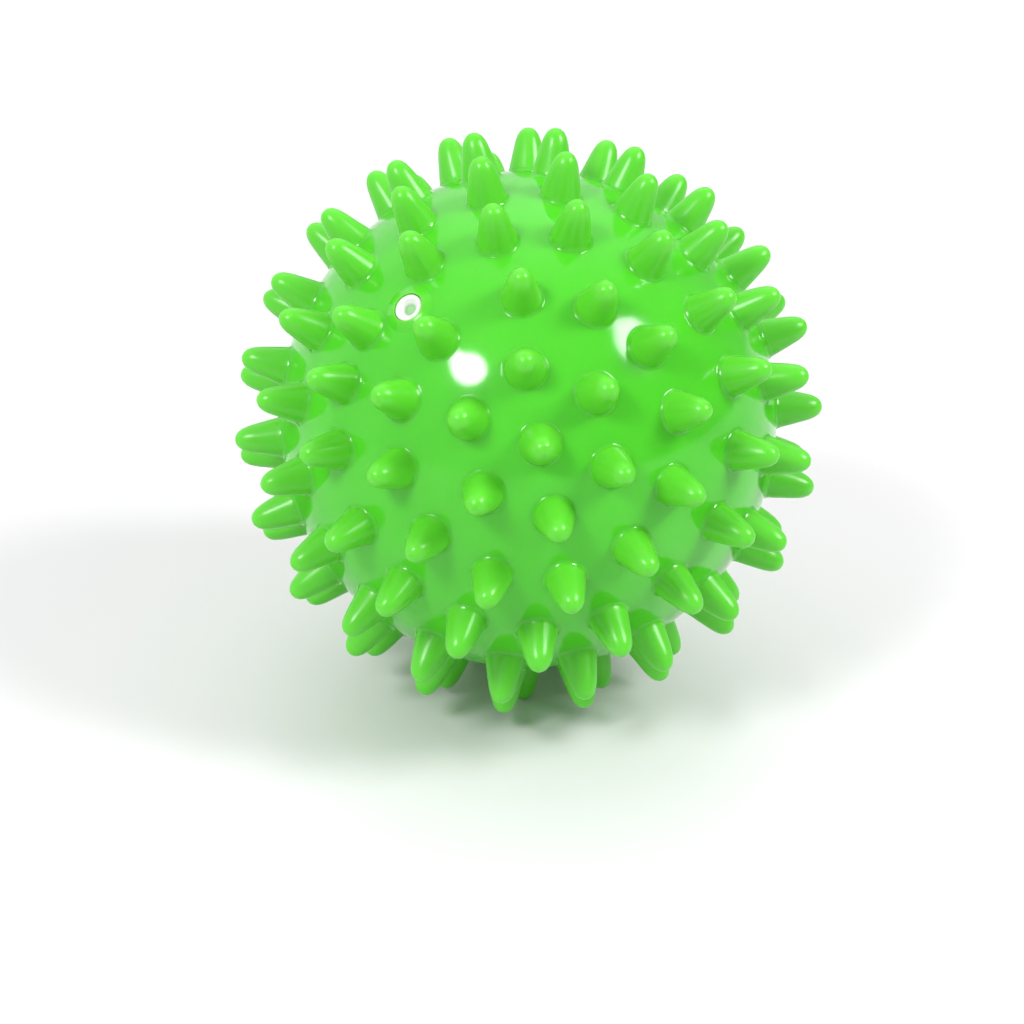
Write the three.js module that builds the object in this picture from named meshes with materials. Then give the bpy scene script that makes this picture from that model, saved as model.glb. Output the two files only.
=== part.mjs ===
// Spiky massage ball: a hollow one-piece vinyl shell with moulded spikes, and a push-in valve plug.
// Millimetres, +Z up. The ball stands on three spike tips at z = 0 with its centre above the origin.
import * as THREE from "three";
import { ConvexHull } from "three/addons/math/ConvexHull.js";

// Ball
const DIAMETER_OVER_TIPS = 90;
const SPIKE_HEIGHT = 7;
const WALL = 2.4;
const BALL_RADIUS = DIAMETER_OVER_TIPS / 2 - SPIKE_HEIGHT;
const INNER_RADIUS = BALL_RADIUS - WALL;

// One spike: a small fillet at its foot, a straight flank, and a round tip
const SPIKE_ROOT_RADIUS = 2.75;
const FOOT_FILLET = 0.4;
const FOOT_FILLET_HEIGHT = 0.8;
const SPIKE_TIP_RADIUS = 1.8;
const TIP_DOME_HEIGHT = 1.7;
const SPIKE_FOOT_RADIUS = SPIKE_ROOT_RADIUS + FOOT_FILLET;
const SPIKE_SIDES = 8;

// Spike pattern: evenly spaced rings from pole to pole, each starting at its half's own meridian
const RING_STEPS = 11;
const NEAR_MERIDIAN_DEG = 101;
const FAR_MERIDIAN_DEG = 7.5;
// On one side of the ball the rings from this one on lie a little farther from the pole
const SPREAD_FROM_RING = 3;
const SPREAD_DEG = 2.5;
const SPREAD_AZIMUTH_DEG = 11;
// Spikes that stand aside from their even places: ring, place in the ring, degrees
const STAND_ASIDE = [
  [2, 10, -1],
  [2, 11, -4.5],
  [2, 0, -4.5],
  [2, 1, 3.5],
  [2, 2, 2],
  [3, 1, 3],
  [3, 2, 3.5],
  [3, 4, -2],
  [3, 14, -1.5],
  [3, 15, -1.5],
];
const POLE_RISE_DEG = 17;

// Valve, measured along its axis from the ball's centre and across it
const VALVE_POLAR_DEG = 43.6;
const VALVE_AZIMUTH_DEG = 134.4;
const PLUG_HEAD_RADIUS = 2.1;
const PLUG_HEAD_THICKNESS = 0.9;
const PLUG_HEAD_CHAMFER = 0.2;
const PLUG_HEAD_SUNK = 0.3;
const PLUG_LIP_WIDTH = 0.6;
const PLUG_CUP_DEPTH = 1;
const PLUG_CUP_WALL = 0.4;
const PLUG_SHANK_RADIUS = 1.1;
const PLUG_RIB_HEIGHT = 0.2;
const PLUG_RIB_LENGTH = 0.5;
const PLUG_RIB_RAMP = 0.3;
const PLUG_PAST_NECK = 0.8;
const PLUG_GAP = 0.3;
const RIM_WIDTH = 0.6;
const COLLAR_HEIGHT = 0.65;
const COLLAR_FLARE = 0.5;
const COLLAR_SPIKE_GAP = 0.8;
const NECK_WALL = 1.4;
const NECK_LENGTH = 8.3;
const NECK_FLARE = 0.4;
const VALVE_SIDES = 20;

const PLUG_RIB_RADIUS = PLUG_SHANK_RADIUS + PLUG_RIB_HEIGHT;
const PLUG_CUP_RADIUS = PLUG_HEAD_RADIUS - PLUG_LIP_WIDTH;
const PLUG_CUP_FLOOR_RADIUS = PLUG_SHANK_RADIUS - PLUG_CUP_WALL;
const RECESS_RADIUS = PLUG_HEAD_RADIUS + PLUG_GAP;
const BORE_RADIUS = PLUG_RIB_RADIUS + PLUG_GAP;
const RIM_RADIUS = RECESS_RADIUS + RIM_WIDTH;
const COLLAR_FOOT_RADIUS = RIM_RADIUS + COLLAR_FLARE;
const NECK_RADIUS = BORE_RADIUS + NECK_WALL;
const NECK_FOOT_RADIUS = NECK_RADIUS + NECK_FLARE;
const RIM_REACH = BALL_RADIUS + COLLAR_HEIGHT;
const HEAD_TOP_REACH = RIM_REACH - PLUG_HEAD_SUNK;
const HEAD_UNDER_REACH = HEAD_TOP_REACH - PLUG_HEAD_THICKNESS;
const RECESS_FLOOR_REACH = HEAD_UNDER_REACH - PLUG_GAP;
const NECK_END_REACH = RECESS_FLOOR_REACH - NECK_LENGTH;
const PLUG_END_REACH = NECK_END_REACH - PLUG_PAST_NECK;

// Points on the inner surface, as rings of their own
const INNER_RING_STEPS = 16;

const UP = new THREE.Vector3(0, 0, 1);
const DOWN = new THREE.Vector3(0, 0, -1);
const radians = THREE.MathUtils.degToRad;

// A direction from the ball's centre, by its angle from the pole and its angle round the pole.
function direction(polarDeg, azimuthDeg) {
  const polar = radians(polarDeg);
  const azimuth = radians(azimuthDeg);
  const outward = Math.sin(polar);
  return new THREE.Vector3(outward * Math.cos(azimuth), outward * Math.sin(azimuth), Math.cos(polar));
}

// The places of an even pattern of rings: each ring holds as many as its circle has room for.
function ringPlaces(steps) {
  const places = [];
  for (let ring = 0; ring <= steps; ring++) {
    const polar = (180 * ring) / steps;
    const count = Math.max(1, Math.round(2 * steps * Math.sin(radians(polar))));
    for (let place = 0; place < count; place++) {
      places.push({ ring, place, polar, turn: (360 * place) / count });
    }
  }
  return places;
}

function spikeDirections(valve) {
  const directions = [];
  for (const { ring, place, polar, turn } of ringPlaces(RING_STEPS)) {
    const meridian = ring <= RING_STEPS / 2 ? NEAR_MERIDIAN_DEG : FAR_MERIDIAN_DEG;
    const aside = STAND_ASIDE.find(([r, p]) => r === ring && p === place);
    const azimuth = meridian + turn + (aside ? aside[2] : 0);
    const spike = direction(polar + spread(ring, azimuth), azimuth);
    directions.push(clearOfValve(spike, valve));
  }
  return directions;
}

// How much farther from the pole a ring lies at this azimuth than it does on the even side.
function spread(ring, azimuthDeg) {
  if (ring < SPREAD_FROM_RING) return 0;
  return SPREAD_DEG * Math.max(0, Math.cos(radians(azimuthDeg - SPREAD_AZIMUTH_DEG)));
}

// A spike whose foot would crowd the valve's collar is moved straight away from it.
function clearOfValve(spike, valve) {
  const least = (COLLAR_FOOT_RADIUS + SPIKE_FOOT_RADIUS + COLLAR_SPIKE_GAP) / BALL_RADIUS;
  const angle = spike.angleTo(valve);
  if (angle < least) {
    const axis = new THREE.Vector3().crossVectors(valve, spike).normalize();
    spike.applyAxisAngle(axis, least - angle);
  }
  return spike;
}

// The turn that lays the pole over and then stands the ball level on the three tips below its centre.
function attitude(directions) {
  const lean = new THREE.Quaternion();
  lean.setFromAxisAngle(new THREE.Vector3(1, 0, 0), radians(90 - POLE_RISE_DEG));
  const tips = directions.map((d) => d.clone().applyQuaternion(lean));
  let nearest = null;
  for (const face of new ConvexHull().setFromPoints(tips).faces) {
    const facing = face.normal.dot(DOWN);
    if (facing <= 0) continue;
    const reach = face.constant / facing;
    if (!nearest || reach < nearest.reach) nearest = { reach, normal: face.normal };
  }
  return lean.premultiply(new THREE.Quaternion().setFromUnitVectors(nearest.normal, DOWN));
}

// A ring of points round an axis through the ball's centre. A radius of 0 gives the one point on the axis.
function ringOf(axis, reach, radius, sides) {
  if (radius === 0) return [axis.clone().multiplyScalar(reach)];
  const turn = new THREE.Quaternion().setFromUnitVectors(UP, axis);
  return Array.from({ length: sides }, (_, i) => {
    const angle = (2 * Math.PI * i) / sides;
    const point = new THREE.Vector3(radius * Math.cos(angle), radius * Math.sin(angle), reach);
    return point.applyQuaternion(turn);
  });
}

// A surface of revolution about an axis from a profile of reach and radius, as rings and triangles.
// The profile runs with the solid on its left when the axis points up and the radius to the right.
function turned(axis, profile, sides) {
  const rings = profile.map(([reach, radius]) => ringOf(axis, reach, radius, sides));
  const triangles = [];
  for (let level = 1; level < rings.length; level++) {
    const [low, high] = [rings[level - 1], rings[level]];
    for (let i = 0; i < sides; i++) {
      const next = (i + 1) % sides;
      if (low.length > 1) triangles.push([low[i], low[next], high[next % high.length]]);
      if (high.length > 1) triangles.push([low[i % low.length], high[next], high[i]]);
    }
  }
  return { rings, triangles };
}

// Triangles that cover a sphere except inside the given rims. The hull of points on a sphere joins
// neighbouring points, and a point at the middle of each rim marks the triangles to leave out.
function skin(radius, rims, loosePoints) {
  const middles = new Set();
  const points = [...loosePoints];
  for (const { axis, rim } of rims) {
    const middle = axis.clone().multiplyScalar(radius);
    middles.add(middle);
    points.push(middle, ...rim);
  }
  const triangles = [];
  for (const face of new ConvexHull().setFromPoints(points).faces) {
    const corners = [0, 1, 2].map((i) => face.getEdge(i).head().point);
    if (!corners.some((corner) => middles.has(corner))) triangles.push(corners);
  }
  return triangles;
}

// The reach at which a ring of this radius lies on a sphere.
function onSphere(sphereRadius, ringRadius) {
  return Math.sqrt(sphereRadius ** 2 - ringRadius ** 2);
}

function spikeProfile() {
  const tip = BALL_RADIUS + SPIKE_HEIGHT;
  const shoulder = tip - TIP_DOME_HEIGHT;
  const slope = radians(48);
  return [
    [onSphere(BALL_RADIUS, SPIKE_FOOT_RADIUS), SPIKE_FOOT_RADIUS],
    [BALL_RADIUS + FOOT_FILLET_HEIGHT, SPIKE_ROOT_RADIUS],
    [shoulder, SPIKE_TIP_RADIUS],
    [shoulder + TIP_DOME_HEIGHT * Math.sin(slope), SPIKE_TIP_RADIUS * Math.cos(slope)],
    [tip, 0],
  ];
}

// From the collar's foot over its rim, down the recess and the bore, and back up outside the neck.
function valveProfile() {
  return [
    [onSphere(BALL_RADIUS, COLLAR_FOOT_RADIUS), COLLAR_FOOT_RADIUS],
    [RIM_REACH, RIM_RADIUS],
    [RIM_REACH, RECESS_RADIUS],
    [RECESS_FLOOR_REACH, RECESS_RADIUS],
    [RECESS_FLOOR_REACH, BORE_RADIUS],
    [NECK_END_REACH, BORE_RADIUS],
    [NECK_END_REACH, NECK_RADIUS],
    [onSphere(INNER_RADIUS, NECK_FOOT_RADIUS), NECK_FOOT_RADIUS],
  ];
}

// From the inner end along the ribbed shank to the head, over its lip and down into its cup.
function plugProfile() {
  const ribs = [0.3, 0.65].flatMap((share) => {
    const middle = THREE.MathUtils.lerp(NECK_END_REACH, RECESS_FLOOR_REACH, share);
    const half = PLUG_RIB_LENGTH / 2;
    return [
      [middle - half - PLUG_RIB_RAMP, PLUG_SHANK_RADIUS],
      [middle - half, PLUG_RIB_RADIUS],
      [middle + half, PLUG_RIB_RADIUS],
      [middle + half + PLUG_RIB_RAMP, PLUG_SHANK_RADIUS],
    ];
  });
  return [
    [PLUG_END_REACH, 0],
    [PLUG_END_REACH, PLUG_SHANK_RADIUS - PLUG_RIB_HEIGHT],
    [NECK_END_REACH, PLUG_SHANK_RADIUS],
    ...ribs,
    [HEAD_UNDER_REACH, PLUG_SHANK_RADIUS],
    [HEAD_UNDER_REACH, PLUG_HEAD_RADIUS],
    [HEAD_TOP_REACH - PLUG_HEAD_CHAMFER, PLUG_HEAD_RADIUS],
    [HEAD_TOP_REACH, PLUG_HEAD_RADIUS - PLUG_HEAD_CHAMFER],
    [HEAD_TOP_REACH, PLUG_CUP_RADIUS],
    [HEAD_TOP_REACH - PLUG_CUP_DEPTH, PLUG_CUP_FLOOR_RADIUS],
    [HEAD_TOP_REACH - PLUG_CUP_DEPTH, 0],
  ];
}

function shellTriangles(spikes, valve) {
  const triangles = [];
  const outerRims = [];
  for (const axis of spikes) {
    const spike = turned(axis, spikeProfile(), SPIKE_SIDES);
    triangles.push(...spike.triangles);
    outerRims.push({ axis, rim: spike.rings[0] });
  }
  const tunnel = turned(valve, valveProfile(), VALVE_SIDES);
  triangles.push(...tunnel.triangles);
  outerRims.push({ axis: valve, rim: tunnel.rings[0] });
  triangles.push(...skin(BALL_RADIUS, outerRims, []));

  const keepOff = (2 * NECK_FOOT_RADIUS) / INNER_RADIUS;
  const innerPoints = ringPlaces(INNER_RING_STEPS)
    .map(({ polar, turn }) => direction(polar, turn))
    .filter((point) => point.angleTo(valve) > keepOff)
    .map((point) => point.multiplyScalar(INNER_RADIUS));
  const neckRim = { axis: valve, rim: tunnel.rings.at(-1) };
  for (const [a, b, c] of skin(INNER_RADIUS, [neckRim], innerPoints)) triangles.push([a, c, b]);
  return triangles;
}

function meshOf(name, triangles, colour, roughness) {
  const geometry = new THREE.BufferGeometry().setFromPoints(triangles.flat());
  geometry.computeVertexNormals();
  const material = new THREE.MeshStandardMaterial({ color: colour, roughness, metalness: 0 });
  const mesh = new THREE.Mesh(geometry, material);
  mesh.name = name;
  return mesh;
}

const valve = direction(VALVE_POLAR_DEG, VALVE_AZIMUTH_DEG);
const spikes = spikeDirections(valve);
const turn = attitude(spikes);
[...spikes, valve].forEach((axis) => axis.applyQuaternion(turn));

const shell = meshOf("shell", shellTriangles(spikes, valve), 0x5cde3c, 0.22);
const plug = meshOf("valve_plug", turned(valve, plugProfile(), VALVE_SIDES).triangles, 0xf4f5f2, 0.45);

const ball = new THREE.Group();
ball.add(shell, plug);
ball.position.z = -new THREE.Box3().setFromObject(shell).min.z;

export default ball;
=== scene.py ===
# %% [markdown]
# # A spiky massage ball
# The real ball is one hollow casting of soft green vinyl. Blunt spikes stand all over it, and a
# small white plug closes the air valve. The CAD part already has every piece at its true size and
# place, but its spikes have eight flat sides. This lesson rebuilds both pieces with smooth, rounded
# surfaces in the same places, gives them their vinyl finishes and lights them like a product
# photograph.

import itertools
import math

import bmesh
import bpy
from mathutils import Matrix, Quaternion, Vector
from mathutils.geometry import delaunay_2d_cdt
from mathutils.kdtree import KDTree


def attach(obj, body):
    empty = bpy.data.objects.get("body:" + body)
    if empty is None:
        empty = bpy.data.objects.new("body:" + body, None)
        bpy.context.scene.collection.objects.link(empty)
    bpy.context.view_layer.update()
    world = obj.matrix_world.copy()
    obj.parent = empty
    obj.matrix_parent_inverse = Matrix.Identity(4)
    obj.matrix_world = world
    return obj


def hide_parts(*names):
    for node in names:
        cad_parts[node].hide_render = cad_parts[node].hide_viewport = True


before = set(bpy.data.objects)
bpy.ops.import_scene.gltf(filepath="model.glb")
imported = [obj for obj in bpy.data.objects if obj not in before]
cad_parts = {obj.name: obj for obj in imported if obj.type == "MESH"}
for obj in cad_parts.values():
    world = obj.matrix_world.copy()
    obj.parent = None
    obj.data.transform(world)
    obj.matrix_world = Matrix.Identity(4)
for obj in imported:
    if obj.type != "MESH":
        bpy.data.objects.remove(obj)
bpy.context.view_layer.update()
MM = 0.001

# %% [markdown]
# ## Where the spikes stand
# The mould was drilled in rings. The rings lie at equal steps from one pole of the ball to the
# other, and each ring holds as many spikes as fit at the same spacing. All the rings of one half
# start from one meridian, so the pattern can be written as a rule instead of a list of points. On
# one side the rings spread a little. A few spikes stand some degrees aside from their even places,
# and none of them crowds the valve.

# %% The ring rule
RING_STEPS = 11
NEAR_MERIDIAN = 101
FAR_MERIDIAN = 7.5
SPREAD_FROM_RING = 3
SPREAD = 2.5
SPREAD_AZIMUTH = 11
STAND_ASIDE = {(2, 10): -1, (2, 11): -4.5, (2, 0): -4.5, (2, 1): 3.5, (2, 2): 2}
STAND_ASIDE |= {(3, 1): 3, (3, 2): 3.5, (3, 4): -2, (3, 14): -1.5, (3, 15): -1.5}
VALVE_POLAR = 43.6
VALVE_AZIMUTH = 134.4
BALL_RADIUS = 38 * MM
COLLAR_TO_SPIKE = 7.45 * MM


def direction(polar, azimuth):
    """A unit vector at these angles from and round the pole, in degrees."""
    p, a = math.radians(polar), math.radians(azimuth)
    return Vector((math.sin(p) * math.cos(a), math.sin(p) * math.sin(a), math.cos(p)))


def spread(ring, azimuth):
    """How much farther from the pole a ring lies at this azimuth than on the even side."""
    if ring < SPREAD_FROM_RING:
        return 0
    return SPREAD * max(0, math.cos(math.radians(azimuth - SPREAD_AZIMUTH)))


def clear_of_valve(spike, valve):
    """A spike whose foot would crowd the valve's collar is moved straight away from it."""
    crowded_by = COLLAR_TO_SPIKE / BALL_RADIUS - spike.angle(valve)
    if crowded_by > 0:
        spike.rotate(Quaternion(valve.cross(spike), crowded_by))
    return spike


def ring_directions():
    """The direction of every spike, with the pole of the rings along Z."""
    valve = direction(VALVE_POLAR, VALVE_AZIMUTH)
    found = []
    for ring in range(RING_STEPS + 1):
        polar = 180 * ring / RING_STEPS
        count = max(1, round(2 * RING_STEPS * math.sin(math.radians(polar))))
        start = NEAR_MERIDIAN if 2 * ring < RING_STEPS else FAR_MERIDIAN
        for place in range(count):
            azimuth = start + 360 * place / count + STAND_ASIDE.get((ring, place), 0)
            spike = direction(polar + spread(ring, azimuth), azimuth)
            found.append(clear_of_valve(spike, valve))
    return found


print("spikes on the ball:", len(ring_directions()))

# %% [markdown]
# ## How the ball stands
# The ball leans so that its pole faces the viewer, and then rolls until it rests on three spike
# tips. Those three tips are the corners of the one face under the ball's centre that has every
# other tip above it. Finding that face among the lowest tips gives the same turn as the CAD part's.

# %% Lean the pattern and settle it on three tips
POLE_RISE = 17
SPIKE_HEIGHT = 7 * MM
TIP_REACH = BALL_RADIUS + SPIKE_HEIGHT
DOWN = Vector((0, 0, -1))
TIPS_TO_TRY = 8
LEVEL_WITHIN = 1e-5


def resting_face(tips):
    """The outward normal of the face under the centre, and its share of the tips' reach."""
    lowest = sorted(tips, key=lambda tip: tip.z)[:TIPS_TO_TRY]
    best = None
    for a, b, c in itertools.combinations(lowest, 3):
        normal = (b - a).cross(c - a).normalized()
        if normal.dot(a) < 0:
            normal.negate()
        level = normal.dot(a)
        if max(normal.dot(tip) for tip in tips) > level + LEVEL_WITHIN:
            continue
        drop = level / normal.dot(DOWN)
        if best is None or drop < best[0]:
            best = (drop, normal, level)
    return best[1], best[2]


lean = Quaternion((1, 0, 0), math.radians(90 - POLE_RISE))
face_normal, face_level = resting_face([lean @ d for d in ring_directions()])
attitude = face_normal.rotation_difference(DOWN) @ lean
spike_axes = [attitude @ d for d in ring_directions()]
valve_axis = attitude @ direction(VALVE_POLAR, VALVE_AZIMUTH)
ball_centre = Vector((0, 0, TIP_REACH * face_level))
print("ball centre:", ball_centre)

# %% [markdown]
# ## Sums in node trees
# Both Geometry Nodes and shader nodes do arithmetic with Math nodes, and long chains of them are
# hard to read. A small class wraps one socket, so that a sum can be written as ordinary Python and
# adds its own Math nodes. Every other node comes from one method that takes its type, settings and
# inputs.

# %% A class that writes Math nodes
class Wire:
    """One value in a node tree. Arithmetic on it adds Math nodes."""

    def __init__(self, graph, socket):
        self.graph = graph
        self.socket = socket

    def maths(self, operation, *values):
        sockets = dict(enumerate(values))
        return self.graph.node("ShaderNodeMath", {"operation": operation}, sockets)

    def __add__(self, other):
        return self.maths("ADD", self, other)

    def __radd__(self, other):
        return self.maths("ADD", other, self)

    def __sub__(self, other):
        return self.maths("SUBTRACT", self, other)

    def __rsub__(self, other):
        return self.maths("SUBTRACT", other, self)

    def __mul__(self, other):
        return self.maths("MULTIPLY", self, other)

    def __rmul__(self, other):
        return self.maths("MULTIPLY", other, self)

    def __truediv__(self, other):
        return self.maths("DIVIDE", self, other)

    def __rtruediv__(self, other):
        return self.maths("DIVIDE", other, self)

    def __pow__(self, other):
        return self.maths("POWER", self, other)

    def root(self):
        return self.maths("SQRT", self)

    def cosine(self):
        return self.maths("COSINE", self)

    def size(self):
        return self.maths("ABSOLUTE", self)

    def at_least(self, lowest):
        return self.maths("MAXIMUM", self, lowest)

    def at_most(self, highest):
        return self.maths("MINIMUM", self, highest)

    def output(self, name):
        return Wire(self.graph, self.socket.node.outputs[name])


class Graph:
    """A node tree that is built one node at a time."""

    def __init__(self, tree):
        self.tree = tree

    def node(self, kind, settings, sockets, output=0):
        node = self.tree.nodes.new(kind)
        for name, value in settings.items():
            setattr(node, name, value)
        for key, value in sockets.items():
            if isinstance(value, Wire):
                self.tree.links.new(value.socket, node.inputs[key])
            else:
                node.inputs[key].default_value = value
        return Wire(self, node.outputs[output]) if node.outputs else None


print("operators ready:", [name for name in vars(Wire) if name.startswith("__r")])

# %% [markdown]
# ## Green vinyl
# The casting is coloured all through, and light that enters it travels a few millimetres before it
# leaves again. Subsurface scattering does the same, so the thin spikes glow lighter than the skin.
# The skin shines because it sets against a polished mould. What breaks the perfect gloss is small:
# the skin waves a little where the vinyl cooled unevenly, a faint cloudiness runs through the
# colour, and the spikes are duller from their feet up. The spikes are also painted a touch yellower
# from their feet up, a painted glow for the light that the thin spikes let through. Noise on Object
# coordinates gives the waves and clouds, and the distance from the ball's centre says where the
# spikes are.

# %% Helpers for finishes
CLOUDS_PER_METRE = 45
WAVES_PER_METRE = 160
GRAINS_PER_METRE = 2600


def finish(name):
    """A new material without nodes, and the graph that builds it."""
    material = bpy.data.materials.new(name)
    material.use_nodes = True
    material.node_tree.nodes.clear()
    return material, Graph(material.node_tree)


def noise(graph, place, scale, detail):
    """Noise from 0 to 1 with this many patches in a metre."""
    sockets = {"Vector": place, "Scale": scale, "Detail": detail, "Roughness": 0.5}
    return graph.node("ShaderNodeTexNoise", {"noise_dimensions": "3D"}, sockets)


def mixed(graph, share, first, second):
    """One colour blended into another."""
    sockets = {0: share, 6: first, 7: second}
    return graph.node("ShaderNodeMix", {"data_type": "RGBA"}, sockets, output=2)


def centred(graph, centre):
    """Object coordinates measured from this point."""
    place = graph.node("ShaderNodeTexCoord", {}, {}, output="Object")
    return graph.node("ShaderNodeMapping", {}, {"Vector": place, "Location": -centre})


def length(graph, vector):
    """How long a vector is."""
    settings = {"operation": "LENGTH"}
    return graph.node("ShaderNodeVectorMath", settings, {0: vector}, output="Value")


def bumped(graph, height, strength, depth):
    """The surface's normal, tilted as if the surface rose and fell by this depth."""
    sockets = {"Strength": strength, "Distance": depth, "Height": height}
    return graph.node("ShaderNodeBump", {}, sockets)


def progress(value, start, full):
    """How far a value has come from start to full, from 0 to 1."""
    return ((value - start) / (full - start)).at_least(0).at_most(1)


patches = {"cloud": CLOUDS_PER_METRE, "wave": WAVES_PER_METRE, "grain": GRAINS_PER_METRE}
print("patch sizes in mm:", {name: round(1 / n / MM, 2) for name, n in patches.items()})

# %% The green vinyl finish
VINYL_GREEN = (0.076, 0.54, 0.02, 1)
VINYL_DEEP_GREEN = (0.064, 0.48, 0.017, 1)
# Painted glow: the spikes' yellower green stands in for light that passes through the thin spikes.
SPIKE_PAINTED_GLOW = (0.1, 0.52, 0.026, 1)
SPIKE_PAINTED_GLOW_FULL = 1 / 9
SKIN_ROUGHNESS = 0.085
CLOUD_ROUGHNESS = 0.02
GRAIN_ROUGHNESS = 0.01
SPIKE_DULLNESS = 0.2
DULL_FROM = 0.02
DULL_FULL = 0.1
GRAIN_IN_WAVE = 0.005
WAVE_STRENGTH = 0.22
WAVE_DEPTH = 0.1 * MM
VINYL_SPECULAR = 0.42
GLOW_WEIGHT = 0.9
GLOW_RATIO = (0.5, 1, 0.3)
GLOW_DEPTH = 2.2 * MM


def green_vinyl():
    material, graph = finish("green_vinyl")
    place = centred(graph, ball_centre)
    up_spike = progress(length(graph, place), BALL_RADIUS, TIP_REACH)
    cloud = noise(graph, place, CLOUDS_PER_METRE, detail=3)
    grain = noise(graph, place, GRAINS_PER_METRE, detail=2)
    skin = mixed(graph, cloud, VINYL_GREEN, VINYL_DEEP_GREEN)
    above = progress(up_spike, DULL_FROM, DULL_FULL)
    dull = above * above * (3 - 2 * above)
    mottle = CLOUD_ROUGHNESS * cloud + GRAIN_ROUGHNESS * grain
    wave = noise(graph, place, WAVES_PER_METRE, detail=2) + GRAIN_IN_WAVE * grain
    # The base colour turns to the painted glow green from the spikes' feet up.
    sockets = {
        "Base Color": mixed(graph, progress(up_spike, 0, SPIKE_PAINTED_GLOW_FULL), skin, SPIKE_PAINTED_GLOW),
        "Roughness": SKIN_ROUGHNESS + mottle + SPIKE_DULLNESS * dull,
        "Normal": bumped(graph, wave, WAVE_STRENGTH, WAVE_DEPTH),
        "Specular IOR Level": VINYL_SPECULAR,
        "Subsurface Weight": GLOW_WEIGHT,
        "Subsurface Radius": GLOW_RATIO,
        "Subsurface Scale": GLOW_DEPTH,
    }
    surface = graph.node("ShaderNodeBsdfPrincipled", {}, sockets)
    graph.node("ShaderNodeOutputMaterial", {}, {"Surface": surface})
    return material


green_finish = green_vinyl()
print("green vinyl nodes:", len(green_finish.node_tree.nodes))

# %% [markdown]
# ## The spikes
# Every spike is the same turned shape: a small hollow fillet at its foot, a gently tapering flank
# and a blunt round tip. It could be modelled once and copied by hand, but it follows a rule, so a
# Geometry Nodes tree makes it. The tree starts from a plain cone, moves each ring of it to the
# radius and height that the rule gives, and then stands one copy on every point of the ring
# pattern.

# %% Sizes of a spike
FLANK_FOOT_RADIUS = 3.08 * MM
FLANK_TIP_RADIUS = 1.58 * MM
FOOT_FILLET = 0.4 * MM
FILLET_HEIGHT = 0.6 * MM
SPIKE_FOOT_RADIUS = FLANK_FOOT_RADIUS + FOOT_FILLET
SPIKE_TREE_INPUTS = {
    "Ball Centre": ("NodeSocketVector", ball_centre),
    "Ball Radius": ("NodeSocketFloat", BALL_RADIUS),
    "Spike Height": ("NodeSocketFloat", SPIKE_HEIGHT),
    "Flank Foot Radius": ("NodeSocketFloat", FLANK_FOOT_RADIUS),
    "Flank Tip Radius": ("NodeSocketFloat", FLANK_TIP_RADIUS),
    "Bluntness": ("NodeSocketFloat", 9),
    "Foot Fillet": ("NodeSocketFloat", FOOT_FILLET),
    "Fillet Height": ("NodeSocketFloat", FILLET_HEIGHT),
    "Sides": ("NodeSocketInt", 24),
    "Bands": ("NodeSocketInt", 14),
    "Vinyl": ("NodeSocketMaterial", green_finish),
}
print("a spike in mm: foot", round(2 * SPIKE_FOOT_RADIUS / MM, 2), "height", SPIKE_HEIGHT / MM)

# %% The spike tree
FOOT_CROWDING = 1.3


def vector_maths(graph, operation, first, second):
    return graph.node("ShaderNodeVectorMath", {"operation": operation}, {0: first, 1: second})


def scaled(graph, vector, factor):
    sockets = {0: vector, "Scale": factor}
    return graph.node("ShaderNodeVectorMath", {"operation": "SCALE"}, sockets)


def unit(graph, vector):
    return graph.node("ShaderNodeVectorMath", {"operation": "NORMALIZE"}, {0: vector})


def along_z(graph, height):
    return graph.node("ShaderNodeCombineXYZ", {}, {"Z": height})


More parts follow.
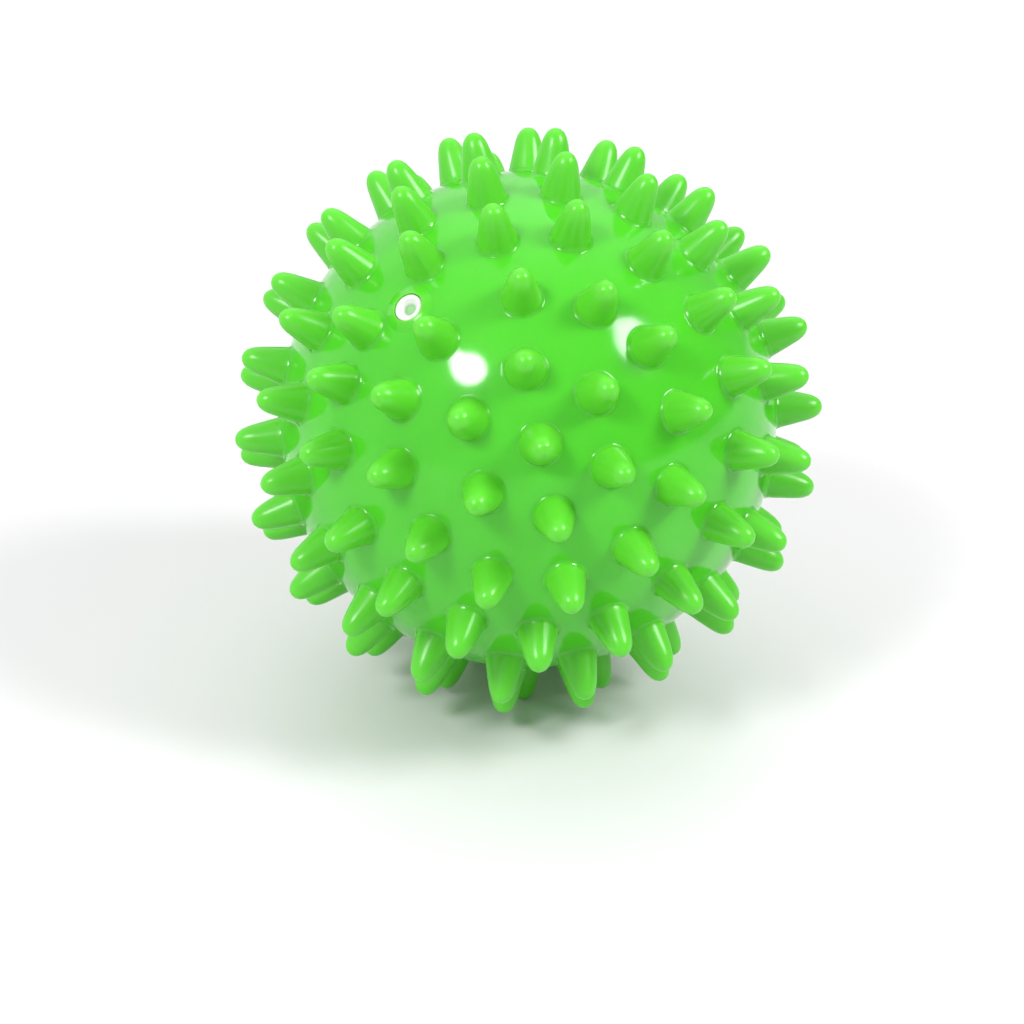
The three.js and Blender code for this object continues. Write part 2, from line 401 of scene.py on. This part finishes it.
def spike_tree():
    tree = bpy.data.node_groups.new("spikes", "GeometryNodeTree")
    tree.interface.new_socket("Geometry", in_out="INPUT", socket_type="NodeSocketGeometry")
    for name, (kind, _) in SPIKE_TREE_INPUTS.items():
        tree.interface.new_socket(name, in_out="INPUT", socket_type=kind)
    tree.interface.new_socket("Geometry", in_out="OUTPUT", socket_type="NodeSocketGeometry")
    graph = Graph(tree)
    given = graph.node("NodeGroupInput", {}, {})
    ball_radius = given.output("Ball Radius")
    flank_foot = given.output("Flank Foot Radius")
    foot_fillet = given.output("Foot Fillet")

    sockets = {"Vertices": given.output("Sides"), "Side Segments": given.output("Bands")}
    sockets |= {"Radius Top": 0, "Radius Bottom": 1, "Depth": 1}
    cone = graph.node("GeometryNodeMeshCone", {"fill_type": "NONE"}, sockets)
    position = graph.node("GeometryNodeInputPosition", {}, {})
    along = graph.node("ShaderNodeSeparateXYZ", {}, {0: position}, output="Z")
    rise = 0.5 - 0.5 * (math.pi * along ** FOOT_CROWDING).cosine()

    foot_radius = flank_foot + foot_fillet
    foot_reach = (ball_radius * ball_radius - foot_radius * foot_radius).root()
    height = (ball_radius + given.output("Spike Height") - foot_reach) * rise
    flank = flank_foot + (given.output("Flank Tip Radius") - flank_foot) * rise
    dome = (1 - rise ** given.output("Bluntness")).at_least(0).root()
    low = (1 - height / given.output("Fillet Height")).at_least(0)
    fillet = foot_fillet * (1 - (1 - low * low).root())
    radius = flank * dome + fillet

    outward = unit(graph, vector_maths(graph, "MULTIPLY", position, (1, 1, 0)))
    place = vector_maths(graph, "ADD", scaled(graph, outward, radius), along_z(graph, height))
    spike = graph.node("GeometryNodeSetPosition", {}, {"Geometry": cone, "Position": place})

    centre = given.output("Ball Centre")
    arm = vector_maths(graph, "SUBTRACT", position, centre)
    foot = vector_maths(graph, "ADD", centre, scaled(graph, unit(graph, arm), foot_reach))
    sockets = {"Mesh": given.output("Geometry"), "Position": foot}
    points = graph.node("GeometryNodeMeshToPoints", {}, sockets)
    turn = graph.node("FunctionNodeAlignRotationToVector", {"axis": "Z"}, {"Vector": arm})
    sockets = {"Points": points, "Instance": spike, "Rotation": turn}
    copies = graph.node("GeometryNodeInstanceOnPoints", {}, sockets)
    real = graph.node("GeometryNodeRealizeInstances", {}, {"Geometry": copies})
    sockets = {"Geometry": real, "Material": given.output("Vinyl")}
    painted = graph.node("GeometryNodeSetMaterial", {}, sockets)
    graph.node("NodeGroupOutput", {}, {0: painted})
    return tree


tree = spike_tree()
print("spike tree nodes:", len(tree.nodes))

# %% [markdown]
# ## Spikes all over the ball
# On the real ball the spikes grow out of the skin, so they have to end up in one mesh with it. A
# live modifier would keep them apart from it. The tree therefore runs once, on a mesh that holds
# only the pattern's points, and its result is kept as the start of the shell's own mesh.

# %% Stand the spikes on the pattern
def new_object(name, data):
    made = bpy.data.objects.new(name, data)
    bpy.context.scene.collection.objects.link(made)
    return made


def grown(piece, tree, inputs):
    """Runs the tree on the piece once and keeps the result as its plain mesh."""
    modifier = piece.modifiers.new("grow", "NODES")
    modifier.node_group = tree
    for socket in tree.interface.items_tree:
        if socket.in_out == "INPUT" and socket.name in inputs:
            modifier[socket.identifier] = inputs[socket.name][1]
    depsgraph = bpy.context.evaluated_depsgraph_get()
    mesh = bpy.data.meshes.new_from_object(piece.evaluated_get(depsgraph))
    piece.modifiers.remove(modifier)
    piece.data = mesh
    return mesh


pattern = bpy.data.meshes.new("spike_pattern")
pattern.from_pydata([ball_centre + BALL_RADIUS * axis for axis in spike_axes], [], [])
shell_skin = new_object("shell_skin", pattern)
shell_mesh = grown(shell_skin, tree, SPIKE_TREE_INPUTS)
print("spike faces:", len(shell_mesh.polygons), "for", len(spike_axes), "spikes")

# %% [markdown]
# ## The valve in the casting
# A raised collar surrounds the plug. Inside it the plug's head lies in a shallow recess, and below
# that a neck reaches into the ball and grips the plug's shank. It is one turned form round the
# valve's axis, so its outline is listed once, as reach from the ball's centre and distance from the
# axis, and turned. Short arcs at the corners stand for the soft edges that a casting has.

# %% Sizes of the valve
WALL = 2.4 * MM
INNER_RADIUS = BALL_RADIUS - WALL
RIM_REACH = BALL_RADIUS + 0.45 * MM
HEAD_TOP = RIM_REACH - 0.1 * MM
HEAD_UNDER = HEAD_TOP - 0.9 * MM
RECESS_FLOOR = HEAD_UNDER - 0.3 * MM
NECK_END = RECESS_FLOOR - 8.3 * MM
RIM_RADIUS = 2.3 * MM
RECESS_RADIUS = 2.22 * MM
BORE_RADIUS = 1.6 * MM
NECK_RADIUS = 3.0 * MM
COLLAR_FOOT = 3.8 * MM
NECK_FOOT = 3.4 * MM
COLLAR_SWELL = {3.2 * MM: 0.22 * MM, 2.7 * MM: 0.42 * MM}
print("neck length in mm:", round((RECESS_FLOOR - NECK_END) / MM, 2))

# %% Tools for turned forms
LONGEST_CUT = 0.45
ARC_STEPS = (0, 0.25, 0.5, 0.75, 1)


def on_sphere(sphere_radius, ring_radius):
    """The reach at which a ring of this radius lies on a sphere."""
    return math.sqrt(sphere_radius**2 - ring_radius**2)


def across(axis):
    """Two unit vectors that are square to the axis and to each other."""
    first = axis.orthogonal().normalized()
    return first, axis.cross(first)


def turned(bm, axis, outline, sides):
    """Turns an outline of (reach, radius) pairs round an axis through the ball's centre."""
    first, second = across(axis)
    angles = [2 * math.pi * side / sides for side in range(sides)]
    rings = []
    for reach, radius in outline:
        middle = ball_centre + reach * axis
        if radius == 0:
            rings.append([bm.verts.new(middle)] * sides)
            continue
        spots = [middle + radius * (math.cos(a) * first + math.sin(a) * second) for a in angles]
        rings.append([bm.verts.new(spot) for spot in spots])
    for low, high in itertools.pairwise(rings):
        for side in range(sides):
            after = (side + 1) % sides
            corners = [low[side], low[after], high[after], high[side]]
            bm.faces.new(dict.fromkeys(corners)).smooth = True
    return rings


def rounded(outline, soft):
    """The outline with each inner corner replaced by a short arc."""
    points = [Vector(point) for point in outline]
    made = [points[0]]
    for before, corner, after in zip(points, points[1:], points[2:]):
        back, ahead = before - corner, after - corner
        cut = min(soft, back.length * LONGEST_CUT, ahead.length * LONGEST_CUT)
        start, end = corner + cut * back.normalized(), corner + cut * ahead.normalized()
        for step in ARC_STEPS:
            made.append(start.lerp(corner, step).lerp(corner.lerp(end, step), step))
    return [tuple(point) for point in made + [points[-1]]]


one_corner = rounded([(0, 0), (1, 0), (1, 1)], LONGEST_CUT)
print("points of an outline with one soft corner:", len(one_corner))

# %% Turn the collar, recess and neck
VALVE_SIDES = 48
CASTING_EDGE = 0.25 * MM
valve_outline = [(on_sphere(BALL_RADIUS, COLLAR_FOOT), COLLAR_FOOT)]
for ring_radius, swell in COLLAR_SWELL.items():
    valve_outline.append((on_sphere(BALL_RADIUS + swell, ring_radius), ring_radius))
valve_outline += [
    (RIM_REACH, RIM_RADIUS),
    (RIM_REACH, RECESS_RADIUS),
    (RECESS_FLOOR, RECESS_RADIUS),
    (RECESS_FLOOR, BORE_RADIUS),
    (NECK_END, BORE_RADIUS),
    (NECK_END, NECK_RADIUS),
    (on_sphere(INNER_RADIUS, NECK_FOOT), NECK_FOOT),
]
shell = bmesh.new()
shell.from_mesh(shell_mesh)
valve_rings = turned(shell, valve_axis, rounded(valve_outline, CASTING_EDGE), VALVE_SIDES)
print("valve rings:", len(valve_rings), "of", VALVE_SIDES, "corners")

# %% [markdown]
# ## The skin between the spikes
# The ball's skin has to meet every spike's foot and the valve's collar exactly, or light would leak
# in at the seams. A sphere cut with 157 round holes could be made with Booleans, but they leave
# long thin faces that spoil a glossy finish. Here the skin is stretched over points instead: the
# feet's own corners, and evenly spread points between them. Flattened from a point on the valve's
# axis, circles on a sphere stay circles, so a flat Delaunay net gives well shaped triangles on the
# ball too. The feet's rims are marked sharp, so that the skin's highlights stay round beside them.

# %% Find the rims
def open_loops(bm):
    """Each open rim of the mesh as a list of its corners in order."""
    used, loops = set(), []
    for edge in bm.edges:
        if not edge.is_boundary or edge in used:
            continue
        loop = [edge.verts[0]]
        while edge is not None:
            used.add(edge)
            loop.append(edge.other_vert(loop[-1]))
            following = (e for e in loop[-1].link_edges if e.is_boundary and e not in used)
            edge = next(following, None)
        loops.append(loop[:-1])
    return loops


for edge in shell.edges:
    edge.smooth = not edge.is_boundary
rims = open_loops(shell)
inner_rim = next(rim for rim in rims if rim[0] in valve_rings[-1])
outer_rims = [rim for rim in rims if rim is not inner_rim]
print("rims:", len(rims), "of which outside:", len(outer_rims))

# %% Spread points between the rims
GOLDEN_ANGLE = math.pi * (3 - math.sqrt(5))
HOLE_CLEARANCE = 0.6
OUTER_SPACING = 1.3 * MM
INNER_SPACING = 3 * MM


def spread_points(radius, spacing, holes, hole_radius):
    """Even points on a sphere, none of them in a hole or close to its rim."""
    tree = KDTree(len(holes))
    for i, hole in enumerate(holes):
        tree.insert(hole, i)
    tree.balance()
    count = round(4 * math.pi * radius**2 / (spacing**2 * math.sqrt(3) / 2))
    spots = []
    for k in range(count):
        height = 1 - (2 * k + 1) / count
        spin = GOLDEN_ANGLE * k
        flat = math.sqrt(1 - height * height)
        arm = Vector((flat * math.cos(spin), flat * math.sin(spin), height))
        spot = ball_centre + radius * arm
        _, nearest, gap = tree.find(spot)
        if gap > hole_radius[nearest] + HOLE_CLEARANCE * spacing:
            spots.append(spot)
    return spots


holes = [ball_centre + BALL_RADIUS * axis for axis in [*spike_axes, valve_axis]]
hole_radius = [SPIKE_FOOT_RADIUS] * len(spike_axes) + [COLLAR_FOOT]
outer_spots = spread_points(BALL_RADIUS, OUTER_SPACING, holes, hole_radius)
neck_middle = ball_centre + INNER_RADIUS * valve_axis
inner_spots = spread_points(INNER_RADIUS, INNER_SPACING, [neck_middle], [NECK_FOOT])
print("points outside:", len(outer_spots), "inside:", len(inner_spots))

# %% Stretch the skin
HULL_TRIANGLES = 0
SAME_POINT = 1e-9


def flattened(corners):
    """The corners' places on a plane, seen from where the valve's axis leaves the ball."""
    first, second = across(valve_axis)
    flat = []
    for corner in corners:
        arm = (corner.co - ball_centre).normalized()
        stretch = 1 / (1 - arm.dot(valve_axis))
        flat.append(Vector((arm.dot(first), arm.dot(second))) * stretch)
    return flat


def stretch_skin(bm, rims, spots, outward):
    """Fills the sphere between these rims with triangles that use the rims' own corners."""
    corners = [corner for rim in rims for corner in rim]
    owner = [i for i, rim in enumerate(rims) for _ in rim] + [None] * len(spots)
    corners += [bm.verts.new(spot) for spot in spots]
    edges, start = [], 0
    for rim in rims:
        ids = range(start, start + len(rim))
        edges += list(zip(ids, [*ids[1:], start]))
        start += len(rim)
    flat = flattened(corners)
    _, _, faces, origin, _, _ = delaunay_2d_cdt(flat, edges, [], HULL_TRIANGLES, SAME_POINT)
    made = 0
    for face in faces:
        ids = [origin[i][0] for i in face]
        owners = {owner[i] for i in ids}
        if len(owners) == 1 and None not in owners:
            continue
        a, b, c = (corners[i] for i in ids)
        normal = (b.co - a.co).cross(c.co - a.co)
        if (normal.dot(a.co - ball_centre) > 0) != outward:
            b, c = c, b
        bm.faces.new((a, b, c))
        made += 1
    return made


outer_faces = stretch_skin(shell, outer_rims, outer_spots, outward=True)
inner_faces = stretch_skin(shell, [inner_rim], inner_spots, outward=False)
print("skin faces outside:", outer_faces, "inside:", inner_faces)

# %% [markdown]
# ## One closed casting
# A casting has no gaps: every edge of its surface joins exactly two faces. That is counted here
# before the mesh is kept, and the volume of the vinyl is measured with it. Then the finished shell
# is tied to the body that it moves with, and the CAD solid that it stands for is hidden.

# %% Finish the shell's mesh
bmesh.ops.recalc_face_normals(shell, faces=shell.faces)
for face in shell.faces:
    face.smooth = True
    face.material_index = 0
open_edges = sum(1 for edge in shell.edges if not edge.is_manifold)
shell_volume = shell.calc_volume(signed=True)
shell.to_mesh(shell_mesh)
shell.free()
shell_mesh.materials.clear()
shell_mesh.materials.append(green_finish)
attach(shell_skin, "ball")
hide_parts("shell")
print("open edges:", open_edges, "volume cm3:", round(shell_volume * 1e6, 2))
print("shell triangles:", sum(len(face.vertices) - 2 for face in shell_mesh.polygons))

# %% [markdown]
# ## White vinyl
# The plug is moulded from a firmer, white vinyl with a satin surface. Its head holds a small cup,
# and the cup's floor is thin, so the green of the neck shines through it. That floor is painted a
# dull green: painted shade in the deep cup, tinted by the green light. A green disc could be laid
# on the floor, but the painted shade is faint and fades at its edge. So a mask made from the place
# along and across the valve's axis paints the floor alone.

# %% The white plug finish
PLUG_WHITE = (0.7, 0.7, 0.69, 1)
PLUG_CLOUDED_WHITE = (0.64, 0.65, 0.63, 1)
# Painted shade: the cup's floor is painted a dull green for the shade in the deep cup and the green
# light that comes through its thin floor.
CUP_PAINTED_SHADE_GREEN = (0.27, 0.52, 0.24, 1)
CUP_FLOOR = HEAD_TOP - 1 * MM
CUP_FLOOR_RADIUS = 0.7 * MM
CUP_SHADE_DEPTH = 0.25 * MM
CUP_SHADE_DEPTH_END = 2 / 3 * MM
CUP_SHADE_RADIUS = CUP_FLOOR_RADIUS + 1 / 15 * MM
CUP_SHADE_RADIUS_END = CUP_FLOOR_RADIUS + 0.4 * MM
PLUG_CLOUDS_PER_METRE = 500
PLUG_GRAINS_PER_METRE = 5000
PLUG_ROUGHNESS = 0.3
PLUG_CLOUD_ROUGHNESS = 0.1
PLUG_GRAIN_ROUGHNESS = 0.06
PLUG_WAVE_STRENGTH = 0.2
PLUG_WAVE_DEPTH = 0.05 * MM


def dot(graph, first, second):
    """How far one vector reaches along another of unit length."""
    settings = {"operation": "DOT_PRODUCT"}
    return graph.node("ShaderNodeVectorMath", settings, {0: first, 1: second}, output="Value")


def white_plug():
    material, graph = finish("white_vinyl")
    place = centred(graph, ball_centre)
    cloud = noise(graph, place, PLUG_CLOUDS_PER_METRE, detail=3)
    grain = noise(graph, place, PLUG_GRAINS_PER_METRE, detail=2)
    along = dot(graph, place, valve_axis)
    aside = vector_maths(graph, "SUBTRACT", place, scaled(graph, valve_axis, along))
    # This mask paints the shade on the cup's floor alone, fading at its edge.
    at_floor = progress((along - CUP_FLOOR).size(), CUP_SHADE_DEPTH_END, CUP_SHADE_DEPTH)
    inside = progress(length(graph, aside), CUP_SHADE_RADIUS_END, CUP_SHADE_RADIUS)
    white = mixed(graph, cloud, PLUG_WHITE, PLUG_CLOUDED_WHITE)
    mottle = PLUG_CLOUD_ROUGHNESS * cloud + PLUG_GRAIN_ROUGHNESS * grain
    sockets = {
        "Base Color": mixed(graph, at_floor * inside, white, CUP_PAINTED_SHADE_GREEN),
        "Roughness": PLUG_ROUGHNESS + mottle,
        "Normal": bumped(graph, cloud, PLUG_WAVE_STRENGTH, PLUG_WAVE_DEPTH),
        "IOR": 1.5,
    }
    surface = graph.node("ShaderNodeBsdfPrincipled", {}, sockets)
    graph.node("ShaderNodeOutputMaterial", {}, {"Surface": surface})
    return material


white_finish = white_plug()
print("white plug nodes:", len(white_finish.node_tree.nodes))

# %% [markdown]
# ## The valve plug
# The plug is a small stopper that pushes into the neck and pulls straight out, so that the ball can
# be pumped up. Only its head shows, a lip round the cup. The shank under it carries two low ribs
# that grip the bore. All of it is round, so it is turned like the valve, from one outline that runs
# from the shank's end to the cup's floor.

# %% Turn the plug
SHANK_RADIUS = 1.1 * MM
SHANK_END_RADIUS = 0.9 * MM
RIB_RADIUS = 1.3 * MM
RIB_HALF_FOOT = 0.55 * MM
RIB_HALF_TOP = 0.25 * MM
RIB_PLACES = (0.3, 0.65)
HEAD_RADIUS = RECESS_RADIUS - 0.1 * MM
CUP_RADIUS = 1.5 * MM
PLUG_END = NECK_END - 0.8 * MM
PLUG_EDGE = 0.2 * MM
plug_outline = [(PLUG_END, 0), (PLUG_END, SHANK_END_RADIUS), (NECK_END, SHANK_RADIUS)]
for share in RIB_PLACES:
    rib_middle = NECK_END + share * (RECESS_FLOOR - NECK_END)
    plug_outline += [
        (rib_middle - RIB_HALF_FOOT, SHANK_RADIUS),
        (rib_middle - RIB_HALF_TOP, RIB_RADIUS),
        (rib_middle + RIB_HALF_TOP, RIB_RADIUS),
        (rib_middle + RIB_HALF_FOOT, SHANK_RADIUS),
    ]
plug_outline += [
    (HEAD_UNDER, SHANK_RADIUS),
    (HEAD_UNDER, HEAD_RADIUS),
    (HEAD_TOP, HEAD_RADIUS),
    (HEAD_TOP, CUP_RADIUS),
    (CUP_FLOOR, CUP_FLOOR_RADIUS),
    (CUP_FLOOR, 0),
]
plug = bmesh.new()
turned(plug, valve_axis, rounded(plug_outline, PLUG_EDGE), VALVE_SIDES)
bmesh.ops.recalc_face_normals(plug, faces=plug.faces)
plug_mesh = bpy.data.meshes.new("plug_skin")
plug.to_mesh(plug_mesh)
plug.free()
plug_mesh.materials.append(white_finish)
plug_skin = new_object("plug_skin", plug_mesh)
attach(plug_skin, "plug")
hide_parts("valve_plug")
print("plug faces:", len(plug_mesh.polygons))

# %% [markdown]
# ## The floor
# Product photographs are often taken on a large pale sheet that shows no edge in the picture. A
# sheet that bends up into a wall could be modelled, but seen from above a flat square is enough.
# Its colour leans a little away from green, because the ball throws green light on it.

# %% Floor
FLOOR_HALF = 3
FLOOR_CLOUDS_PER_METRE = 12
FLOOR_ROUGHNESS = 0.35
FLOOR_CLOUD_ROUGHNESS = 0.1
FLOOR_PALE = (0.7, 0.685, 0.7, 1)
FLOOR_CLOUDED = (0.68, 0.67, 0.69, 1)


def pale_floor():
    material, graph = finish("pale_floor")
    place = graph.node("ShaderNodeTexCoord", {}, {}, output="Object")
    cloud = noise(graph, place, FLOOR_CLOUDS_PER_METRE, detail=2)
    colour = mixed(graph, cloud, FLOOR_PALE, FLOOR_CLOUDED)
    rough = FLOOR_ROUGHNESS + FLOOR_CLOUD_ROUGHNESS * cloud
    sockets = {"Base Color": colour, "Roughness": rough, "IOR": 1.45}
    surface = graph.node("ShaderNodeBsdfPrincipled", {}, sockets)
    graph.node("ShaderNodeOutputMaterial", {}, {"Surface": surface})
    return material


floor_mesh = bpy.data.meshes.new("floor")
floor_corners = [FLOOR_HALF * Vector(c) for c in [(-1, -1, 0), (1, -1, 0), (1, 1, 0), (-1, 1, 0)]]
floor_mesh.from_pydata(floor_corners, [], [(0, 1, 2, 3)])
floor_mesh.materials.append(pale_floor())
floor = new_object("floor", floor_mesh)
print("floor side in metres:", 2 * FLOOR_HALF)

# %% [markdown]
# ## Soft lights
# Two soft lights stand in front of the ball, an oval one to the left and a round one to the right.
# On a glossy ball they show as bright patches, so their places are read from the patches and their
# sizes from how wide these are. Lamps without a size would show as mere points, so these are area
# lights, each given by the angles under which the ball sees it.

# %% Lights
LIGHT_DISTANCE = 2


def from_angles(azimuth, elevation):
    """The way to a viewer or a light. Azimuth 0 is in front of the ball, 90 to its right."""
    a, e = math.radians(azimuth), math.radians(elevation)
    return Vector((math.sin(a) * math.cos(e), -math.cos(a) * math.cos(e), math.sin(e)))


def seen_as(angle):
    """How wide a light is that is seen from the ball under this angle."""
    return 2 * LIGHT_DISTANCE * math.tan(math.radians(angle / 2))


def soft_light(name, azimuth, elevation, width, height, power):
    lamp = bpy.data.lights.new(name, "AREA")
    lamp.shape = "ELLIPSE"
    lamp.size = seen_as(width)
    lamp.size_y = seen_as(height)
    lamp.energy = power
    made = new_object(name, lamp)
    towards = from_angles(azimuth, elevation)
    made.location = ball_centre + LIGHT_DISTANCE * towards
    made.rotation_mode = "QUATERNION"
    made.rotation_quaternion = towards.to_track_quat("Z", "Y")


soft_light("left_light", azimuth=-40, elevation=41, width=16.5, height=13.5, power=22.5)
soft_light("right_light", azimuth=70.5, elevation=42, width=21.5, height=21.5, power=31)

# %% [markdown]
# ## Pale surroundings
# In a bright studio the walls and the ceiling light the ball too, and fill its shadows. A white sky
# stands for them, as its strength can change smoothly from side to side. It is brighter on the
# left, and brightest high up behind the ball, where it whitens the ball's top and throws a soft
# shadow forwards.

# %% Sky
OVERHEAD_RISE = 55
OVERHEAD_TIGHTNESS = 6


def pale_sky(bright_side, bright, dim, overhead):
    """White surroundings: bright on one side, dim on the other, a third strength overhead."""
    world = bpy.data.worlds.new("pale_sky")
    world.use_nodes = True
    world.node_tree.nodes.clear()
    graph = Graph(world.node_tree)
    white = [{"Color": (1, 1, 1, 1), "Strength": strength} for strength in (dim, bright, overhead)]
    glows = [graph.node("ShaderNodeBackground", {}, sockets) for sockets in white]
    towards = graph.node("ShaderNodeTexCoord", {}, {}, output="Generated")
    share = 0.5 + 0.5 * dot(graph, towards, bright_side)
    behind = dot(graph, towards, from_angles(180, OVERHEAD_RISE)).at_least(0)
    sides = graph.node("ShaderNodeMixShader", {}, {0: share, 1: glows[0], 2: glows[1]})
    sockets = {0: behind ** OVERHEAD_TIGHTNESS, 1: sides, 2: glows[2]}
    blend = graph.node("ShaderNodeMixShader", {}, sockets)
    graph.node("ShaderNodeOutputWorld", {}, {"Surface": blend})
    return world


bpy.context.scene.world = pale_sky((-1, 0, 0), bright=1.15, dim=0.22, overhead=1.65)
bpy.context.scene.view_settings.view_transform = "Standard"
print("sky nodes:", len(bpy.context.scene.world.node_tree.nodes))

# %% [markdown]
# ## The camera
# The camera looks down on the ball from just left of straight ahead, with a long lens, and is
# rolled by a little over two degrees. The ball sits above the middle of the picture, so after
# facing the ball the camera nods down and turns by the two small angles that move it there.

# %% Camera
IMAGE_SIZE = 1024
FOCAL_PIXELS = 3236
BALL_AT = (527.6, 419.7)
CAMERA_AZIMUTH = -3.56
CAMERA_ELEVATION = 23.63
CAMERA_DISTANCE = 0.496
CAMERA_ROLL = 2.35
camera_data = bpy.data.cameras.new("camera")
camera_data.sensor_width = 36
camera_data.lens = camera_data.sensor_width * FOCAL_PIXELS / IMAGE_SIZE
camera_data.clip_start = 0.01
camera = new_object("camera", camera_data)
towards_camera = from_angles(CAMERA_AZIMUTH, CAMERA_ELEVATION)
camera.location = ball_centre + CAMERA_DISTANCE * towards_camera
roll = Quaternion((0, 0, 1), math.radians(CAMERA_ROLL))
facing = towards_camera.to_track_quat("Z", "Y") @ roll
nod = math.atan((BALL_AT[1] - IMAGE_SIZE / 2) / FOCAL_PIXELS)
turn = math.atan((BALL_AT[0] - IMAGE_SIZE / 2) / FOCAL_PIXELS)
camera.rotation_mode = "QUATERNION"
camera.rotation_quaternion = facing @ Quaternion((0, 1, 0), turn) @ Quaternion((1, 0, 0), nod)
bpy.context.scene.camera = camera
print("lens in mm:", round(camera_data.lens, 1))

# %% [markdown]
# ## Sizes
# The finished pieces should fill the same box as the CAD part.
